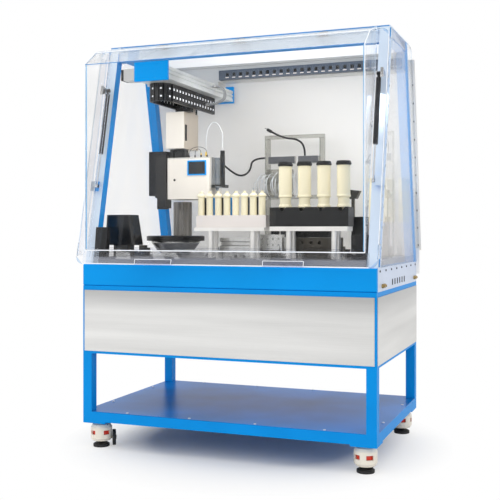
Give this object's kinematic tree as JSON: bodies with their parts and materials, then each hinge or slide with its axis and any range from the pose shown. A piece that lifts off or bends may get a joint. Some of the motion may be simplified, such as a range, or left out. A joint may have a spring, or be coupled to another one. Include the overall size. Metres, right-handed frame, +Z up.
{
  "type": "automated dosing system",
  "caption": "Enclosed robotic powder and liquid dosing bench: blue tube frame on levelling casters, brushed panels, clear sloping hood and a gantry dosing head over racked hoppers.",
  "frame": {"origin": "centre of the footprint on the floor plane under the feet", "axes": "+X to the right seen from the front door, +Y to the rear, +Z up"},
  "size_m": [1.43, 1.0144, 1.927],
  "materials": {
    "blue_coat": "satin",
    "brushed": "satin",
    "clear_acrylic": "gloss",
    "aluminium": "satin",
    "black_plastic": "matte",
    "cream_plastic": "satin",
    "hopper_plastic": "satin",
    "screw_steel": "gloss",
    "caster_body": "gloss",
    "wheel_black": "matte",
    "thumb_red": "gloss",
    "wall_grey": "matte",
    "smoked": "gloss",
    "rack_white": "satin",
    "hose_black": "satin",
    "chrome_rod": "gloss",
    "hose_clear": "gloss"
  },
  "bodies": {
    "machine": {"base_frame": "blue_coat", "bottom_shelf": "blue_coat", "cabinet_panels": "brushed", "plinth": "blue_coat", "front_fascia": "blue_coat", "deck_plate": "brushed", "hood_posts": "blue_coat", "hood_beams": "blue_coat", "clear_panels": "clear_acrylic", "rear_wall": "wall_grey", "panel_screws": "screw_steel", "x_beam": "aluminium", "x_chain": "black_plastic", "deck_fixtures": "aluminium", "small_rack": "rack_white", "large_rack": "black_plastic", "balance": "black_plastic", "ioniser_box": "black_plastic", "handset": "black_plastic", "side_instrument": "black_plastic", "vial_module": "cream_plastic", "pump_unit": "wall_grey", "pump_hoses": "hose_black"},
    "door": {"door_sheet": "clear_acrylic", "door_bay": "clear_acrylic", "door_fittings": "aluminium"},
    "left_strut_tube": {"left_strut_tube": "black_plastic"},
    "left_strut_rod": {"left_strut_rod": "chrome_rod"},
    "right_strut_tube": {"right_strut_tube": "black_plastic"},
    "right_strut_rod": {"right_strut_rod": "chrome_rod"},
    "arm": {"y_arm": "aluminium", "arm_end_caps": "blue_coat", "y_motor": "aluminium", "x_carriage": "aluminium", "arm_chain": "black_plastic", "arm_hoses": "hose_black"},
    "column": {"z_column": "cream_plastic"},
    "head": {"dosing_head": "cream_plastic", "head_display": "black_plastic", "head_hoses": "hose_clear", "powder_tool": "black_plastic", "syringe_tool": "black_plastic"},
    "small_hoppers": {"small_hoppers": "hopper_plastic"},
    "large_hoppers": {"large_hoppers": "hopper_plastic"},
    "front_left_caster_housing": {"front_left_caster_housing": "caster_body"},
    "front_left_caster_wheel": {"front_left_caster_wheel": "wheel_black"},
    "front_left_thumbwheel": {"front_left_thumbwheel": "thumb_red"},
    "front_left_levelling_foot": {"front_left_levelling_foot": "wheel_black"},
    "front_right_caster_housing": {"front_right_caster_housing": "caster_body"},
    "front_right_caster_wheel": {"front_right_caster_wheel": "wheel_black"},
    "front_right_thumbwheel": {"front_right_thumbwheel": "thumb_red"},
    "front_right_levelling_foot": {"front_right_levelling_foot": "wheel_black"},
    "rear_right_caster_housing": {"rear_right_caster_housing": "caster_body"},
    "rear_right_caster_wheel": {"rear_right_caster_wheel": "wheel_black"},
    "rear_right_thumbwheel": {"rear_right_thumbwheel": "thumb_red"},
    "rear_right_levelling_foot": {"rear_right_levelling_foot": "wheel_black"},
    "rear_left_caster_housing": {"rear_left_caster_housing": "caster_body"},
    "rear_left_caster_wheel": {"rear_left_caster_wheel": "wheel_black"},
    "rear_left_thumbwheel": {"rear_left_thumbwheel": "thumb_red"},
    "rear_left_levelling_foot": {"rear_left_levelling_foot": "wheel_black"}
  },
  "joints": [
    {"name": "door_hinge", "type": "hinge", "parent": "machine", "child": "door", "pos_m": [0, -0.205, 1.905], "axis": [-1, 0, 0], "range_deg": [0, 70]},
    {"name": "left_strut_swing", "type": "hinge", "parent": "door", "child": "left_strut_tube", "pos_m": [-0.669, -0.27228, 1.7], "axis": [-1, 0, 0], "range_deg": [-87, 0]},
    {"name": "left_strut_stroke", "type": "slide", "parent": "left_strut_tube", "child": "left_strut_rod", "axis": [0, -0.2197, -0.9756], "range_m": [0, 0.188]},
    {"name": "right_strut_swing", "type": "hinge", "parent": "door", "child": "right_strut_tube", "pos_m": [0.669, -0.27228, 1.7], "axis": [-1, 0, 0], "range_deg": [-87, 0]},
    {"name": "right_strut_stroke", "type": "slide", "parent": "right_strut_tube", "child": "right_strut_rod", "axis": [0, -0.2197, -0.9756], "range_m": [0, 0.188]},
    {"name": "x_travel", "type": "slide", "parent": "machine", "child": "arm", "axis": [-1, 0, 0], "range_m": [-0.66, 0.1]},
    {"name": "y_travel", "type": "slide", "parent": "arm", "child": "column", "axis": [0, -1, 0], "range_m": [-0.09, 0.2]},
    {"name": "z_travel", "type": "slide", "parent": "column", "child": "head", "axis": [0, 0, 1], "range_m": [-0.1, 0]},
    {"name": "small_hopper_lift", "type": "slide", "parent": "machine", "child": "small_hoppers", "axis": [0, 0, 1], "range_m": [0, 0.15]},
    {"name": "large_hopper_lift", "type": "slide", "parent": "machine", "child": "large_hoppers", "axis": [0, 0, 1], "range_m": [0, 0.15]},
    {"name": "front_left_swivel", "type": "hinge", "parent": "machine", "child": "front_left_caster_housing", "pos_m": [-0.638, -0.388, 0.118], "axis": [0, 0, 1], "continuous": true},
    {"name": "front_left_wheel_spin", "type": "hinge", "parent": "front_left_caster_housing", "child": "front_left_caster_wheel", "pos_m": [-0.58708, -0.35741, 0.039], "axis": [0.8572, 0.515, 0], "continuous": true},
    {"name": "front_left_thumbwheel_turn", "type": "hinge", "parent": "front_left_caster_housing", "child": "front_left_thumbwheel", "pos_m": [-0.638, -0.388, 0.07], "axis": [0, 0, 1], "range_deg": [0, 2160]},
    {"name": "front_left_foot_screw", "type": "slide", "parent": "front_left_caster_housing", "child": "front_left_levelling_foot", "axis": [0, 0, 1], "range_m": [-0.0121, 0]},
    {"name": "front_right_swivel", "type": "hinge", "parent": "machine", "child": "front_right_caster_housing", "pos_m": [0.638, -0.388, 0.118], "axis": [0, 0, 1], "continuous": true},
    {"name": "front_right_wheel_spin", "type": "hinge", "parent": "front_right_caster_housing", "child": "front_right_caster_wheel", "pos_m": [0.638, -0.3286, 0.039], "axis": [0, 1, 0], "continuous": true},
    {"name": "front_right_thumbwheel_turn", "type": "hinge", "parent": "front_right_caster_housing", "child": "front_right_thumbwheel", "pos_m": [0.638, -0.388, 0.07], "axis": [0, 0, 1], "range_deg": [0, 2160]},
    {"name": "front_right_foot_screw", "type": "slide", "parent": "front_right_caster_housing", "child": "front_right_levelling_foot", "axis": [0, 0, 1], "range_m": [-0.0121, 0]},
    {"name": "rear_right_swivel", "type": "hinge", "parent": "machine", "child": "rear_right_caster_housing", "pos_m": [0.638, 0.388, 0.118], "axis": [0, 0, 1], "continuous": true},
    {"name": "rear_right_wheel_spin", "type": "hinge", "parent": "rear_right_caster_housing", "child": "rear_right_caster_wheel", "pos_m": [0.59184, 0.42538, 0.039], "axis": [-0.7771, 0.6293, 0], "continuous": true},
    {"name": "rear_right_thumbwheel_turn", "type": "hinge", "parent": "rear_right_caster_housing", "child": "rear_right_thumbwheel", "pos_m": [0.638, 0.388, 0.07], "axis": [0, 0, 1], "range_deg": [0, 2160]},
    {"name": "rear_right_foot_screw", "type": "slide", "parent": "rear_right_caster_housing", "child": "rear_right_levelling_foot", "axis": [0, 0, 1], "range_m": [-0.0121, 0]},
    {"name": "rear_left_swivel", "type": "hinge", "parent": "machine", "child": "rear_left_caster_housing", "pos_m": [-0.638, 0.388, 0.118], "axis": [0, 0, 1], "continuous": true},
    {"name": "rear_left_wheel_spin", "type": "hinge", "parent": "rear_left_caster_housing", "child": "rear_left_caster_wheel", "pos_m": [-0.58708, 0.41859, 0.039], "axis": [0.8572, 0.515, 0], "continuous": true},
    {"name": "rear_left_thumbwheel_turn", "type": "hinge", "parent": "rear_left_caster_housing", "child": "rear_left_thumbwheel", "pos_m": [-0.638, 0.388, 0.07], "axis": [0, 0, 1], "range_deg": [0, 2160]},
    {"name": "rear_left_foot_screw", "type": "slide", "parent": "rear_left_caster_housing", "child": "rear_left_levelling_foot", "axis": [0, 0, 1], "range_m": [-0.0121, 0]}
  ],
  "couplings": [
    {"joint": "left_strut_swing", "follows": "door_hinge", "ratio": -1.2337},
    {"joint": "left_strut_stroke", "follows": "door_hinge", "m_per_rad": 0.15366},
    {"joint": "right_strut_swing", "follows": "door_hinge", "ratio": -1.2337},
    {"joint": "right_strut_stroke", "follows": "door_hinge", "m_per_rad": 0.15366},
    {"joint": "front_left_foot_screw", "follows": "front_left_thumbwheel_turn", "m_per_rad": -0.000318},
    {"joint": "front_right_foot_screw", "follows": "front_right_thumbwheel_turn", "m_per_rad": -0.000318},
    {"joint": "rear_right_foot_screw", "follows": "rear_right_thumbwheel_turn", "m_per_rad": -0.000318},
    {"joint": "rear_left_foot_screw", "follows": "rear_left_thumbwheel_turn", "m_per_rad": -0.000318}
  ]
}
